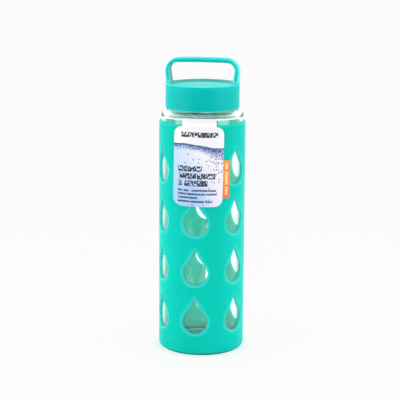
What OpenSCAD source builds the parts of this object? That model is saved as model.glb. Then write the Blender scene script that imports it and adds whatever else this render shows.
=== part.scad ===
// Wide-mouth glass drinking bottle in a windowed silicone sleeve, with a screw cap and carry loop.
// Z is up, the bottle stands on z = 0 with its axis at x = y = 0, and the label faces -Y.

/* [Glass bottle] */
// Outer diameter of the glass body
glass_d = 66; // [64:0.5:66]
// Thickness of the glass wall
glass_wall = 2.2; // [1.8:0.1:2.6]
// Thickness of the glass base at its middle
glass_base = 5; // [4:0.5:7]
// Height of the shoulder's flat top
shoulder_h = 197.8; // [197:0.2:205]
// Outside radius of the shoulder's corner
shoulder_r = 4.2; // [3.8:0.1:4.4]
// Outer diameter of the neck under its thread
neck_d = 52; // [51.6:0.1:52]
// Height of the neck above the shoulder
neck_h = 14.8; // [14.6:0.1:15]

/* [Silicone sleeve] */
// Outer diameter of the sleeve
sleeve_d = 70; // [70:0.5:72]
// Height of the sleeve's top edge
sleeve_h = 188.2; // [186:0.2:189]
// Thickness of the sleeve's floor
sleeve_floor = 2; // [1.6:0.1:2.4]
// Outside radius of the sleeve's bottom corner
heel_r = 3.5; // [3:0.1:5]
// Columns of drop-shaped windows
window_columns = 6; // [3:1:7]
// Rows of drop-shaped windows
window_rows = 4; // [1:1:4]
// Width of a window
window_w = 20.2; // [16:0.2:24]
// Height of a window from its round end to its tip
window_h = 30.5; // [28:0.1:34]
// Height of the lowest row's tips
first_tip_h = 48.9; // [46:0.1:50]
// Distance from one row to the next
row_pitch = 40.6; // [38:0.2:42]
// Turn of the windows to the left of the front
window_turn = 8.8; // [-30:0.2:30]

/* [Cap] */
// Outer diameter of the cap
cap_d = 59.6; // [59:0.2:61]
// Height of the cap from its lower edge to its rim
cap_h = 20; // [19.8:0.1:21]
// Gap between the cap's lower edge and the shoulder
cap_gap = 0.8; // [0.6:0.1:1]
// Thickness of the cap's skirt
cap_wall = 1.4; // [1.2:0.1:1.6]
// Thickness of the cap's top plate
plate_t = 2.2; // [1.8:0.1:2.4]
// Depth of the dished top below the rim
dish_depth = 2.6; // [1.8:0.1:2.6]

/* [Carry loop] */
// Height of the loop's top above the cap's rim
loop_h = 20.4; // [18:0.2:24]
// Width of the loop at its widest
loop_w = 60.4; // [59:0.2:61]
// Depth of the loop's strap, front to back
loop_depth = 11; // [8:0.5:14]
// Thickness of the loop's top bar
bar_t = 3.7; // [3:0.1:4.5]
// Thickness of the loop's legs at their foot
leg_t = 5; // [4:0.1:6]
// Drop of the loop's top bar from its middle to its ends
loop_arch = 0.8; // [0:0.1:1.2]
// Turn of the loop away from the front
loop_turn = 8; // [0:1:30]

/* [Thread] */
// Rise of the cap in one turn
lead = 4; // [3.6:0.2:4.4]
// Turns of thread on the neck
neck_turns = 1.5; // [1:0.25:1.5]
// Turns of thread in the cap's liner
liner_turns = 1.25; // [1:0.25:1.5]

/* [Label] */
// Width of the label
label_w = 39.2; // [30:0.2:44]
// Height of the label's lower edge
label_bottom_h = 124.1; // [100:0.1:140]
// Radius of the label's corners
label_corner = 6.6; // [3:0.1:8]
// Width of the tab that holds the label to the glass
tab_w = 26.9; // [18:0.1:30]
// Height of the tab's top edge
tab_h = 193.9; // [192:0.1:194]
// Shift of the label to the left of the front
label_shift = 2.8; // [0:0.1:6]
// Lean of the label
label_lean = 0.9; // [-2:0.1:2]
// Height of the sticker beside the label
sticker_h = 30.5; // [20:0.5:40]

/* [Hidden] */
$fn = 144;
eps = 0.01;
far = 400;

// Glass
glass_r = glass_d / 2;
glass_in_r = glass_r - glass_wall;
glass_heel_r = 3;
glass_in_heel_r = 8;
glass_knee_r = 4;
push_up_r = 23;
push_up_h = 1.4;
neck_r = neck_d / 2;
mouth_r = neck_r - glass_wall - 0.1;
neck_fillet_r = 0.6;
rim_round_r = 0.8;
rim_h = shoulder_h + neck_h;

// Sleeve
sleeve_r = sleeve_d / 2;
sleeve_in_r = glass_r + 0.03;
sleeve_in_heel_r = 2.4;
edge_round_r = 0.7;
groove_r = 20;
groove_w = 3;
groove_depth = 0.7;

// Window outline: a round end and two hollow flanks that meet at the tip
round_r = window_w / 2;
round_drop = window_h - round_r;
flank_foot_a = 42;
flank_foot = [round_r * cos(flank_foot_a), round_drop - round_r * sin(flank_foot_a)];
flank_tip_a = 2 * atan(flank_foot[0] / flank_foot[1]) - flank_foot_a;
flank_r = norm(flank_foot) / (2 * sin((flank_foot_a - flank_tip_a) / 2));

// Cap
cap_r = cap_d / 2;
cap_z = shoulder_h + cap_gap;
cap_rim_z = cap_z + cap_h;
cap_in_r = cap_r - cap_wall;
dish_r = cap_r - 2.2;
dish_z = cap_rim_z - dish_depth;
plate_z = dish_z - plate_t;
cap_edge_r = 0.6;
cap_rim_r = 1;
dish_fillet_r = dish_depth - cap_rim_r / 2;

// Carry loop
loop_top_z = cap_rim_z + loop_h;
loop_foot_w = cap_d - 0.4;
loop_corner_r = 11;
grip_corner_r = 6;
bar_steps = 6;
grip_top_w = loop_w - 2 * (leg_t - 0.9);
grip_foot_w = loop_foot_w - 2 * leg_t;
loop_fillet_r = 3.5;
loop_out_r = cap_r + 0.35;

// Thread
ridge_depth = 1.1;
ridge_root_w = 1.7;
ridge_crest_w = 0.8;
ridge_sink = 0.5;
ridge_steps_per_turn = 48;
ridge_runout = 6;
liner_r = neck_r + 1.4;
neck_ridge_z = shoulder_h + 6.4;
liner_ridge_z = neck_ridge_z - lead / 2;
liner_z = cap_z + 1;

// Seal
seal_gap = 0.05;
seal_in_r = mouth_r - 1.2;
seal_out_r = liner_r - 0.3;

// Label and sticker
film_t = 0.35;
film_gap = 0.04;
label_top_h = sleeve_h - 0.3;
tab_slope = 2;
label_mid_h = (label_bottom_h + label_top_h) / 2;
sticker_w = 5.3;
sticker_bottom_h = label_bottom_h + 6.5;
sticker_round_r = 0.6;

// Points along an arc about (cx, cy), from angle a0 to angle a1
function arc(cx, cy, r, a0, a1, n = 8) =
    [for (i = [0:n]) let (a = a0 + (a1 - a0) * i / n) [cx + r * cos(a), cy + r * sin(a)]];

function mirror_x(points) = [for (i = [len(points) - 1:-1:0]) [-points[i][0], points[i][1]]];

// Right half of a window, from its tip at the origin down to its round end
function window_half() = concat(
    arc(flank_r * cos(flank_tip_a), flank_r * sin(flank_tip_a), flank_r,
        180 + flank_tip_a, 180 + flank_foot_a, 10),
    arc(0, -round_drop, round_r, flank_foot_a - 8, -90, 16)
);

module window_shape() {
    half = window_half();
    polygon(concat(half, mirror_x([for (i = [1:len(half) - 2]) half[i]])));
}

// A helical ridge on a wall at radius r. A positive depth stands out from the wall, a negative one
// stands in. It runs out into the wall at both ends.
module thread_ridge(r, depth, start_z, turns) {
    steps = round(turns * ridge_steps_per_turn);
    side = depth > 0 ? 1 : -1;
    points = [
        for (i = [0:steps])
        let (
            a = 360 * i / ridge_steps_per_turn,
            z = start_z + lead * i / ridge_steps_per_turn,
            full = min(1, i / ridge_runout, (steps - i) / ridge_runout),
            root_r = r - side * ridge_sink,
            crest_r = r - side * 0.3 + (depth + side * 0.3) * full
        )
        each [
            [root_r * cos(a), root_r * sin(a), z - ridge_root_w / 2],
            [crest_r * cos(a), crest_r * sin(a), z - ridge_crest_w / 2],
            [crest_r * cos(a), crest_r * sin(a), z + ridge_crest_w / 2],
            [root_r * cos(a), root_r * sin(a), z + ridge_root_w / 2]
        ]
    ];
    walls = [
        for (i = [0:steps - 1], k = [0:3])
        let (a = 4 * i + k, b = 4 * i + (k + 1) % 4)
        each [[a, b, b + 4], [a, b + 4, a + 4]]
    ];
    last = 4 * steps;
    ends = [[0, 3, 2], [0, 2, 1], [last, last + 1, last + 2], [last, last + 2, last + 3]];
    faces = concat(walls, ends);
    polyhedron(points, side < 0 ? [for (f = faces) [f[0], f[2], f[1]]] : faces);
}

module rounded_rectangle(w, h, r) {
    square([w - 2 * r, h], center = true);
    square([w, h - 2 * r], center = true);
    for (sx = [-1, 1], sy = [-1, 1])
        translate([sx * (w / 2 - r), sy * (h / 2 - r)]) circle(r, $fn = 48);
}

// Blown glass body with a thick heel, a pushed-up base, a square shoulder and a threaded neck
module glass_bottle() {
    foot_z = sleeve_floor;
    outside = concat(
        [[0, foot_z + push_up_h], [push_up_r * 0.6, foot_z + push_up_h * 0.75], [push_up_r, foot_z]],
        arc(glass_r - glass_heel_r, foot_z + glass_heel_r, glass_heel_r, -90, 0),
        arc(glass_r - shoulder_r, shoulder_h - shoulder_r, shoulder_r, 0, 90),
        arc(neck_r + neck_fillet_r, shoulder_h + neck_fillet_r, neck_fillet_r, 270, 180, 4),
        arc(neck_r - rim_round_r, rim_h - rim_round_r, rim_round_r, 0, 90, 5)
    );
    ceiling_z = shoulder_h - glass_wall;
    floor_z = foot_z + glass_base;
    inside = concat(
        arc(mouth_r + rim_round_r, rim_h - rim_round_r, rim_round_r, 90, 180, 5),
        arc(mouth_r + rim_round_r, ceiling_z + rim_round_r, rim_round_r, 180, 270, 4),
        arc(glass_in_r - glass_knee_r, ceiling_z - glass_knee_r, glass_knee_r, 90, 0, 6),
        arc(glass_in_r - glass_in_heel_r, floor_z + glass_in_heel_r, glass_in_heel_r, 0, -90, 10),
        [[0, floor_z]]
    );
    color([0.86, 0.93, 0.92, 0.4]) {
        rotate_extrude() polygon(concat(outside, inside));
        thread_ridge(neck_r, ridge_depth, neck_ridge_z, neck_turns);
    }
}

// Soft sleeve that wraps the glass, open at the top, with rows of drop-shaped windows
module silicone_sleeve() {
    outside = concat(
        [[0, 0]],
        arc(sleeve_r - heel_r, heel_r, heel_r, -90, 0),
        arc(sleeve_r - edge_round_r, sleeve_h - edge_round_r, edge_round_r, 0, 90, 5)
    );
    inside = concat(
        arc(sleeve_in_r + edge_round_r / 2, sleeve_h - edge_round_r / 2, edge_round_r / 2, 90, 180, 4),
        arc(sleeve_in_r - sleeve_in_heel_r, sleeve_floor + sleeve_in_heel_r, sleeve_in_heel_r, 0, -90, 6),
        [[0, sleeve_floor]]
    );
    color([0.02, 0.78, 0.70]) difference() {
        rotate_extrude() polygon(concat(outside, inside));
        for (row = [0:window_rows - 1], column = [0:window_columns - 1])
            rotate([0, 0, column * 360 / window_columns - window_turn])
                translate([0, 0, first_tip_h + row * row_pitch])
                    rotate([90, 0, 0])
                        translate([0, 0, glass_r * 0.6])
                            linear_extrude(glass_r) window_shape();
        translate([0, 0, -eps]) rotate_extrude()
            translate([groove_r, 0]) square([groove_w, groove_depth + eps]);
    }
}

// A thin curved sheet on the sleeve's front, with its outline drawn in the plane of x and z
module film(profile) {
    intersection() {
        rotate_extrude() polygon(profile);
        rotate([90, 0, 0])
            translate([0, 0, sleeve_r / 2])
                linear_extrude(sleeve_r) children();
    }
}

// Printed label: a card over the sleeve and a tab stuck to the bare glass above it
module label_card() {
    on_sleeve = sleeve_r + film_gap;
    on_glass = glass_r + film_gap;
    bend_z = sleeve_h - 0.1;
    profile = [
        [on_sleeve, 0], [on_sleeve + film_t, 0], [on_sleeve + film_t, bend_z + film_t / 2],
        [on_glass + film_t, bend_z + tab_slope + film_t / 2], [on_glass + film_t, shoulder_h],
        [on_glass, shoulder_h], [on_glass, bend_z + tab_slope], [on_sleeve, bend_z]
    ];
    color([0.93, 0.95, 0.98]) film(profile)
        translate([-label_shift, label_mid_h]) rotate(-label_lean) union() {
            rounded_rectangle(label_w, label_top_h - label_bottom_h, label_corner);
            translate([-tab_w / 2, 0]) square([tab_w, tab_h - label_mid_h]);
        }
}

// Narrow printed sticker that stands beside the label's right edge
module label_sticker() {
    on_sleeve = sleeve_r + film_gap;
    profile = [
        [on_sleeve, 0], [on_sleeve + film_t, 0],
        [on_sleeve + film_t, label_top_h], [on_sleeve, label_top_h]
    ];
    color([0.96, 0.52, 0.18]) film(profile)
        translate([-label_shift, label_mid_h]) rotate(-label_lean)
            translate([
                label_w / 2 + film_gap + sticker_w / 2,
                sticker_bottom_h + sticker_h / 2 - label_mid_h
            ])
                rounded_rectangle(sticker_w, sticker_h, sticker_round_r);
}

// Points of the loop's top bar, from (x, z) to its middle
function half_bar(x, z) = [for (i = [1:bar_steps]) [x * (1 - i / bar_steps), z]];

// A point of the loop let down by the arch of its bar
function arched(p) =
    let (high = min(1, max(0, (p[1] - cap_rim_z) / loop_h)), out = 2 * p[0] / loop_w)
    [p[0], p[1] - loop_arch * high * out * out];

// The arched outline whose right half is given, ending in the middle
module arched_outline(half) {
    points = [for (p = half) arched(p)];
    polygon(concat(points, mirror_x([for (i = [0:len(points) - 2]) points[i]])));
}

module loop_front() {
    half_top = loop_w / 2;
    half_foot = loop_foot_w / 2;
    grip_z = cap_rim_z + 0.2;
    grip_top_z = loop_top_z - bar_t;
    difference() {
        arched_outline(concat(
            [[half_foot, dish_z - eps], [half_foot, cap_rim_z]],
            arc(half_top - loop_corner_r, loop_top_z - loop_corner_r, loop_corner_r, 0, 90, 12),
            half_bar(half_top - loop_corner_r, loop_top_z)
        ));
        arched_outline(concat(
            [[grip_foot_w / 2 - 1, dish_z - 2 * eps], [grip_foot_w / 2, grip_z]],
            arc(grip_top_w / 2 - grip_corner_r, grip_top_z - grip_corner_r, grip_corner_r, 0, 90, 8),
            half_bar(grip_top_w / 2 - grip_corner_r, grip_top_z)
        ));
    }
}

// Side outline of the strap, flared where it meets the cap's rim
module loop_side() {
    half = loop_depth / 2;
    flare = concat(
        [[half + loop_fillet_r, dish_z - eps]],
        arc(half + loop_fillet_r, cap_rim_z + loop_fillet_r - 0.5, loop_fillet_r, 270, 180, 6),
        [[half, loop_top_z + eps]]
    );
    polygon(concat(flare, mirror_x(flare)));
}

// Moulded cap: skirt, dished top plate and carry loop in one piece
module cap_shell() {
    shell = concat(
        [[0, plate_z], [cap_in_r, plate_z], [cap_in_r, cap_z + cap_edge_r / 2]],
        arc(cap_r - cap_edge_r, cap_z + cap_edge_r, cap_edge_r, -90, 0, 4),
        arc(cap_r - cap_rim_r, cap_rim_z - cap_rim_r, cap_rim_r, 0, 90, 6),
        arc(dish_r + cap_rim_r / 2, cap_rim_z - cap_rim_r / 2, cap_rim_r / 2, 90, 180, 4),
        arc(dish_r - dish_fillet_r, dish_z + dish_fillet_r, dish_fillet_r, 0, -90, 6),
        [[0, dish_z]]
    );
    color([0.02, 0.74, 0.71]) {
        rotate_extrude() polygon(shell);
        rotate([0, 0, -loop_turn]) intersection() {
            rotate([90, 0, 0]) translate([0, 0, -cap_r])
                linear_extrude(cap_d) loop_front();
            rotate([90, 0, 90]) translate([0, 0, -cap_d])
                linear_extrude(2 * cap_d) loop_side();
            cylinder(h = far, r = loop_out_r);
        }
    }
}

// Threaded ring fixed inside the cap's skirt
module thread_liner() {
    color([0.90, 0.93, 0.93]) {
        translate([0, 0, liner_z]) difference() {
            cylinder(h = plate_z - liner_z, r = cap_in_r);
            translate([0, 0, -eps]) cylinder(h = plate_z - liner_z + 2 * eps, r = liner_r);
        }
        thread_ridge(liner_r, -ridge_depth, liner_ridge_z, liner_turns);
    }
}

// Flat silicone ring between the drinking rim and the cap's top plate
module seal_ring() {
    color([0.93, 0.94, 0.92]) translate([0, 0, rim_h + seal_gap]) difference() {
        cylinder(h = plate_z - rim_h - 2 * seal_gap, r = seal_out_r);
        translate([0, 0, -eps]) cylinder(h = plate_z - rim_h, r = seal_in_r);
    }
}

glass_bottle();
silicone_sleeve();
label_card();
label_sticker();
cap_shell();
thread_liner();
seal_ring();
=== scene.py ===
"""Looks of the wide-mouth glass drinking bottle: clear glass, a windowed silicone sleeve, a screw cap
with a carry loop, a printed label and a sticker. Sizes are in millimetres until a mesh is made."""

import math

import bmesh
import bpy
from mathutils import Euler, Matrix, Vector


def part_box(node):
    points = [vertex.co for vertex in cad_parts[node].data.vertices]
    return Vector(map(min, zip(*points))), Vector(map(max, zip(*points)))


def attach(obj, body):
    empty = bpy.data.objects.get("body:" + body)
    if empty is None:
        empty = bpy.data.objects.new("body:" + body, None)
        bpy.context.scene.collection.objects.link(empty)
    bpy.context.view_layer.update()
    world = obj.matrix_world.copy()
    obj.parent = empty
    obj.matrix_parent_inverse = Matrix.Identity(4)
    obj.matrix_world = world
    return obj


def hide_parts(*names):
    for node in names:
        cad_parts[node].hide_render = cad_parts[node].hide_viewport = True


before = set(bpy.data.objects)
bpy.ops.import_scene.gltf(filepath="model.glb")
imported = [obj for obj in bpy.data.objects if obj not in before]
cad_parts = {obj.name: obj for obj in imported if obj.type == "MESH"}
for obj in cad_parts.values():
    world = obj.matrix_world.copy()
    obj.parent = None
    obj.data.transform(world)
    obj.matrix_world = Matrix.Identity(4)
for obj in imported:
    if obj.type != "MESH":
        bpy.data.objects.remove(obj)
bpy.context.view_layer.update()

MM = 0.001
TINY = 1e-6
WELD = 2e-6


def node_box(name):
    """The lowest and highest corner of a CAD node in millimetres."""
    low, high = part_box(name)
    return low / MM, high / MM


# ---------------------------------------------------------------- sizes

glass_low, glass_high = node_box("glass_bottle")
sleeve_high = node_box("silicone_sleeve")[1]
shell_low, shell_high = node_box("cap_shell")
liner_low, liner_high = node_box("thread_liner")
seal_low, seal_high = node_box("seal_ring")

# Glass. A hub is the innermost ring of faces on a flat round surface.
GLASS_R = glass_high.x
GLASS_WALL = 2.2
GLASS_BASE = 5
GLASS_FOOT_Z = glass_low.z
GLASS_HEEL_R = 3
GLASS_INNER_HEEL_R = 8
GLASS_KNEE_R = 4
GLASS_HUB_R = 12
PUSH_UP_R = 23
PUSH_UP_H = 1.4
PUSH_UP_STEPS = 12
RIM_Z = glass_high.z
NECK_H = 14.8
SHOULDER_Z = RIM_Z - NECK_H
SHOULDER_R = 4.2
NECK_R = 26
MOUTH_R = 23.7
NECK_FILLET_R = 0.6
NECK_PLAIN_H = 1
RIM_ROUND_R = 0.8
GLASS_TURNS = 192

# Sleeve
SLEEVE_R = sleeve_high.x
SLEEVE_TOP = sleeve_high.z
SLEEVE_BORE_R = GLASS_R + 0.03
SLEEVE_FLOOR = GLASS_FOOT_Z
SLEEVE_HEEL_R = 3.5
SLEEVE_INNER_HEEL_R = 2.4
SLEEVE_EDGE_R = 0.7
SLEEVE_FOOT_HUB_R = 8
SLEEVE_WELL_HUB_R = 12
SLEEVE_STEP = 6
FOOT_SHADE_H = 2.4
GROOVE_R = 20
GROOVE_W = 3
GROOVE_DEPTH = 0.7

# Windows. A cell is the stretch of wall round one window, and its numbers count its mesh's faces.
COLUMNS = 6
ROWS = 4
COLUMN_TURN = -8.8
ROW_PITCH = 40.6
FIRST_TIP_Z = 48.9
WINDOW_W = 20.2
WINDOW_H = 30.5
FLANK_FOOT_A = 42
LIP_W = 1.5
WINDOW_DRAFT = 0.35
LIP_DEPTH = 1.3
# Painted highlight on the rounded lips round the windows
LIP_HIGHLIGHT = 0.55
CELL_ACROSS = 24
CELL_UP = 28
WALL_RINGS = 5
LIP_RINGS = 6

# Cap. The numbers that lighten faces are painted highlight and those that darken them painted shade:
# they say how far a face takes on the material's highlight and shade colours.
CAP_R = 29.8
CAP_Z = shell_low.z
CAP_TOP = shell_high.z
LOOP_H = 20.4
CAP_RIM_Z = CAP_TOP - LOOP_H
CAP_WALL = 1.4
CAP_IN_R = CAP_R - CAP_WALL
DISH_R = CAP_R - 2.2
DISH_DEPTH = 2.6
DISH_Z = CAP_RIM_Z - DISH_DEPTH
PLATE_Z = DISH_Z - 2.2
CAP_EDGE_R = 0.6
CAP_RIM_R = 1
DISH_FILLET_R = DISH_DEPTH - CAP_RIM_R / 2
CAP_HUB_R = 10
CAP_STEP = 4
CAP_TURNS = 192
LOWER_EDGE_HIGHLIGHT = 0.9
RIM_HIGHLIGHT = 0.25
DISH_HIGHLIGHT = 0.35
BAR_EDGE_HIGHLIGHT = 0.1
LEG_EDGE_HIGHLIGHT = 0.9
LEG_SIDE_HIGHLIGHT = 0.4
GRIP_SHADE = 1.0
GRIP_SHADE_FOCUS = 8
DISH_SHADE = 0.75
TONE_MARGIN = 0.1

# Carry loop
LOOP_W = 60.4
LOOP_FOOT_W = 2 * CAP_R - 0.4
LOOP_DEPTH = 11
LOOP_ROUNDNESS = 0.45
LOOP_CORNER_R = 11
LOOP_INNER_CORNER_R = 6
LOOP_ARCH = 0.8
LOOP_TURN = -8
LOOP_OUT_R = CAP_R + 0.35
LOOP_INSET = 0.03
LOOP_MERGE_DROP = 1
LOOP_MERGE_H = 5
LOOP_FLARE_R = 3.5
LOOP_FLARE_SINK = 0.5
LOOP_UPRIGHT_H = 3
LOOP_STEP = 0.5
LOOP_CORNER_STEPS = 16
BAR_T = 3.7
BAR_STEPS = 24
LEG_T = 5
LEG_TAPER = 0.9
GRIP_TOP_W = LOOP_W - 2 * (LEG_T - LEG_TAPER)
GRIP_FOOT_W = LOOP_FOOT_W - 2 * LEG_T

# Thread, liner and seal
LEAD = 4
RIDGE_DEPTH = 1.1
RIDGE_ROOT_W = 1.7
RIDGE_CREST_W = 0.8
RIDGE_RUNOUT = 45
THREAD_STEP = 0.4
NECK_RIDGE_Z = SHOULDER_Z + 6.4
NECK_RIDGE_TURNS = 1.5
LINER_R = NECK_R + 1.4
LINER_RIDGE_Z = NECK_RIDGE_Z - LEAD / 2
LINER_RIDGE_TURNS = 1.25
LINER_CHAMFER = 0.3
LINER_PLAIN_H = 0.2
SEAL_INNER_R = MOUTH_R - 1.2
SEAL_ROUND_R = 0.35

# Label and sticker
LABEL_W = 39.2
LABEL_BOTTOM = 124.1
LABEL_TOP = SLEEVE_TOP - 0.3
LABEL_CORNER_R = 6.6
TAB_W = 26.9
TAB_TOP = 193.9
TAB_SLOPE = 2
LABEL_SHIFT = -2.8
LABEL_LEAN = math.radians(-0.9)
FILM_T = 0.35
FILM_GAP = 0.04
FILM_ROW_H = 2
TAB_ROWS = 12
PRINT_FREE = 200
STICKER_W = 5.3
STICKER_H = 30.5
STICKER_BOTTOM = LABEL_BOTTOM + 6.5
STICKER_ROUND_R = 0.6

# Print: the head line's (left, right, base, height), the (right, base) of the headings and of the
# small lines, and the noise that breaks them up into marks
HEAD_LINE = (-14.6, 15.4, 55.4, 4.0)
PRINT_LEFT = -16.6
HEADINGS = [(2.6, 28.0), (13.8, 22.2), (7.4, 16.4)]
HEADING_H = 4.6
SMALL_LINES = [(14.6, 12.2), (15.6, 9.3), (-0.5, 6.4), (11.6, 3.3)]
SMALL_H = 1.5
MARK_SCALE_UP = 0.55
MARK_LINE_STEP = 7.3
GROUP_SCALE = 0.22
GROUP_LINE_STEP = 3.1


# ---------------------------------------------------------------- outlines


def arc(cx, cy, r, a0, a1, n):
    """n + 1 points along an arc about (cx, cy), from angle a0 to angle a1 in degrees."""
    angles = [math.radians(a0 + (a1 - a0) * i / n) for i in range(n + 1)]
    return [(cx + r * math.cos(a), cy + r * math.sin(a)) for a in angles]


def subdivide(points, longest):
    """The same line with no stretch longer than longest."""
    out = [points[0]]
    for a, b in zip(points, points[1:]):
        n = max(1, math.ceil(math.dist(a, b) / longest))
        for i in range(1, n + 1):
            out.append((a[0] + (b[0] - a[0]) * i / n, a[1] + (b[1] - a[1]) * i / n))
    return out


def resample(points, n):
    """n + 1 points at equal steps along the line."""
    lengths = [0]
    for a, b in zip(points, points[1:]):
        lengths.append(lengths[-1] + math.dist(a, b))
    out, k = [], 0
    for i in range(n + 1):
        want = lengths[-1] * i / n
        while k < len(points) - 2 and lengths[k + 1] < want:
            k += 1
        t = (want - lengths[k]) / (lengths[k + 1] - lengths[k])
        a, b = points[k], points[k + 1]
        out.append((a[0] + (b[0] - a[0]) * t, a[1] + (b[1] - a[1]) * t))
    return out


def window_outline(n):
    """A window round its tip at the origin: n points down the right side, then n up the left one."""
    round_r = WINDOW_W / 2
    drop = WINDOW_H - round_r
    foot_a = math.radians(FLANK_FOOT_A)
    foot = (round_r * math.cos(foot_a), drop - round_r * math.sin(foot_a))
    tip_a = 2 * math.atan(foot[0] / foot[1]) - foot_a
    flank_r = math.hypot(*foot) / (2 * math.sin((foot_a - tip_a) / 2))
    flank_x, flank_z = flank_r * math.cos(tip_a), flank_r * math.sin(tip_a)
    flank = arc(flank_x, flank_z, flank_r, 180 + math.degrees(tip_a), 180 + FLANK_FOOT_A, 24)
    half = resample(flank + arc(0, -drop, round_r, FLANK_FOOT_A, -90, 48)[1:], n)
    return half + [(-x, z) for x, z in half[-2:0:-1]]


def outward(outline, distance):
    """The closed outline moved away from its inside by distance."""
    out = []
    n = len(outline)
    for i in range(n):
        a, b = Vector(outline[i - 1]), Vector(outline[(i + 1) % n])
        along = (b - a).normalized()
        out.append((outline[i][0] - along.y * distance, outline[i][1] + along.x * distance))
    return out


# ---------------------------------------------------------------- mesh tools


def polar(r, azimuth, z):
    """A point in metres at an azimuth in radians, which is 0 at the front and grows to the right."""
    return Vector((r * math.sin(azimuth), -r * math.cos(azimuth), z)) * MM


def full_turn(n, start=0.0):
    """n azimuths at equal steps all the way round."""
    return [start + 2 * math.pi * i / n for i in range(n)]


def bridge(bm, a, b, closed=True):
    """Faces between two rings of vertices. A ring of one vertex is a pole."""
    n = max(len(a), len(b))
    for i in range(n if closed else n - 1):
        j = (i + 1) % n
        corners = [a[i % len(a)], a[j % len(a)], b[j % len(b)], b[i % len(b)]]
        kept = [v for k, v in enumerate(corners) if v is not corners[k - 1]]
        bm.faces.new(kept)


def lathe(bm, profile, angles, swell=None):
    """A surface of revolution from (r, z) points. swell(azimuth, r, z) is added to the radius."""
    rings = []
    for r, z in profile:
        if r < TINY:
            rings.append([bm.verts.new(polar(0, 0, z))])
            continue
        radii = [r + (swell(a, r, z) if swell else 0) for a in angles]
        rings.append([bm.verts.new(polar(radius, a, z)) for radius, a in zip(radii, angles)])
    for a, b in zip(rings, rings[1:]):
        bridge(bm, a, b)


def ridge_height(azimuth, z, start_z, turns):
    """How far a helical thread ridge stands out at this azimuth and height, from 0 to 1."""
    a = math.degrees(azimuth - math.pi / 2) % 360
    best = 0
    for lap in range(math.ceil(turns)):
        along = a + 360 * lap
        if along > 360 * turns:
            continue
        off = abs(z - (start_z + LEAD * along / 360))
        flank = (RIDGE_ROOT_W / 2 - off) / ((RIDGE_ROOT_W - RIDGE_CREST_W) / 2)
        run = min(1, along / RIDGE_RUNOUT, (360 * turns - along) / RIDGE_RUNOUT)
        best = max(best, min(1, max(0, flank)) * run)
    return best * best * (3 - 2 * best)


def finish_mesh(name, bm, material, sharp=35):
    """The bmesh as a smooth-shaded object with one material, and its edges sharp above an angle."""
    bmesh.ops.remove_doubles(bm, verts=bm.verts, dist=WELD)
    bmesh.ops.recalc_face_normals(bm, faces=bm.faces)
    mesh = bpy.data.meshes.new(name)
    bm.to_mesh(mesh)
    bm.free()
    mesh.polygons.foreach_set("use_smooth", [True] * len(mesh.polygons))
    mesh.set_sharp_from_angle(angle=math.radians(sharp))
    mesh.materials.append(material)
    obj = bpy.data.objects.new(name, mesh)
    bpy.context.scene.collection.objects.link(obj)
    return obj


def place(obj, node, body):
    """Lets the piece stand for a CAD node: puts it on that node's body and hides the node."""
    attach(obj, body)
    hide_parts(node)


# ---------------------------------------------------------------- materials


def rgb(r, g, b):
    """A display colour of 0 to 255 as linear light."""
    linear = [c / 255 / 12.92 if c <= 10 else ((c / 255 + 0.055) / 1.055) ** 2.4 for c in (r, g, b)]
    return (*linear, 1.0)


def grey(level):
    """A grey from 0 to 1 in linear light."""
    return (level, level, level, 1.0)


class Paint:
    """A material under construction, with short calls for the nodes that the materials share."""

    def __init__(self, name):
        self.material = bpy.data.materials.new(name)
        self.material.use_nodes = True
        self.tree = self.material.node_tree
        self.tree.nodes.clear()
        self.output = self.tree.nodes.new("ShaderNodeOutputMaterial")

    def add(self, kind, settings=None, **inputs):
        """A node. Inputs are socket names with _ for spaces, given a value or another node's output."""
        node = self.tree.nodes.new(kind)
        for key, value in (settings or {}).items():
            setattr(node, key, value)
        for key, value in inputs.items():
            self.feed(node.inputs[key.replace("_", " ")], value)
        return node

    def feed(self, socket, value):
        """Links another node's output to the socket, or sets the socket's own value."""
        if isinstance(value, bpy.types.NodeSocket):
            self.tree.links.new(value, socket)
        else:
            socket.default_value = value

    def math(self, operation, *values):
        node = self.tree.nodes.new("ShaderNodeMath")
        node.operation = operation
        for socket, value in zip(node.inputs, values):
            self.feed(socket, value)
        return node.outputs[0]

    def product(self, *values):
        result = values[0]
        for value in values[1:]:
            result = self.math("MULTIPLY", result, value)
        return result

    def either(self, *values):
        result = values[0]
        for value in values[1:]:
            result = self.math("MAXIMUM", result, value)
        return result

    def rise(self, value, start, end, low=0.0, high=1.0):
        """low on start's side, high on end's side, and smooth between."""
        node = self.add("ShaderNodeMapRange", {"interpolation_type": "SMOOTHSTEP"})
        wanted = {"Value": value, "From Min": start, "From Max": end, "To Min": low, "To Max": high}
        for key, number in wanted.items():
            self.feed(node.inputs[key], number)
        return node.outputs[0]

    def within(self, value, low, high, soft):
        """1 between low and high, with soft edges."""
        rising = self.rise(value, low - soft, low + soft)
        falling = self.rise(value, high - soft, high + soft, 1.0, 0.0)
        return self.product(rising, falling)

    def mix(self, factor, a, b):
        node = self.add("ShaderNodeMix", {"data_type": "RGBA"})
        self.feed(node.inputs[0], factor)
        self.feed(node.inputs[6], a)
        self.feed(node.inputs[7], b)
        return node.outputs[2]

    def object_point(self):
        return self.add("ShaderNodeTexCoord").outputs["Object"]

    def combine(self, x, y):
        return self.add("ShaderNodeCombineXYZ", X=x, Y=y).outputs[0]

    def noise(self, point, scale, detail, roughness=0.5):
        numbers = {"Scale": scale, "Detail": detail, "Roughness": roughness}
        return self.add("ShaderNodeTexNoise", Vector=point, **numbers).outputs["Fac"]

    def bump(self, height, strength, distance):
        """distance is in metres."""
        return self.add("ShaderNodeBump", Height=height, Strength=strength, Distance=distance).outputs[0]

    def principled(self, **inputs):
        return self.add("ShaderNodeBsdfPrincipled", **inputs).outputs[0]

    def done(self, surface):
        self.tree.links.new(surface, self.output.inputs["Surface"])
        return self.material


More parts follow.
